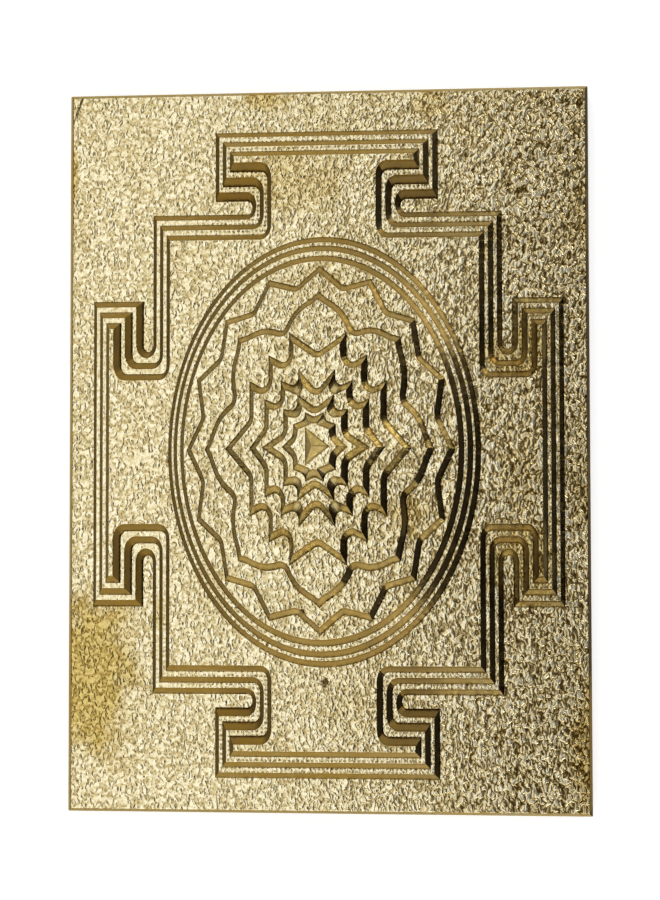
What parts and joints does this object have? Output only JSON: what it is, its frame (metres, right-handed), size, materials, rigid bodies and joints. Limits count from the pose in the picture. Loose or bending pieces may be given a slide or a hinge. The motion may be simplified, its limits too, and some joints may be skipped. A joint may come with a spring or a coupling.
{
  "type": "meru shri yantra",
  "caption": "Stepped brass ritual relief: plate with a gated square enclosure, rings, lotus rows and star terraces rising to a pointed three-sided peak.",
  "frame": {"origin": "centre of the plate's underside", "axes": "plate lies flat with the relief up, +Z; +X to the right and +Y to the top of the picture, +Y along the plate's longer side"},
  "size_m": [0.0764, 0.1058, 0.0303],
  "materials": {
    "brass": "cast and chased, grained flats, smooth walls"
  },
  "bodies": {
    "root": {"base_plate": "brass", "square_step_1": "brass", "square_step_2": "brass", "square_step_3": "brass", "ring_step_1": "brass", "ring_step_2": "brass", "ring_step_3": "brass", "lotus_sixteen": "brass", "lotus_eight": "brass", "star_outer": "brass", "star_second": "brass", "star_third": "brass", "star_inner": "brass", "peak": "brass"}
  },
  "joints": []
}
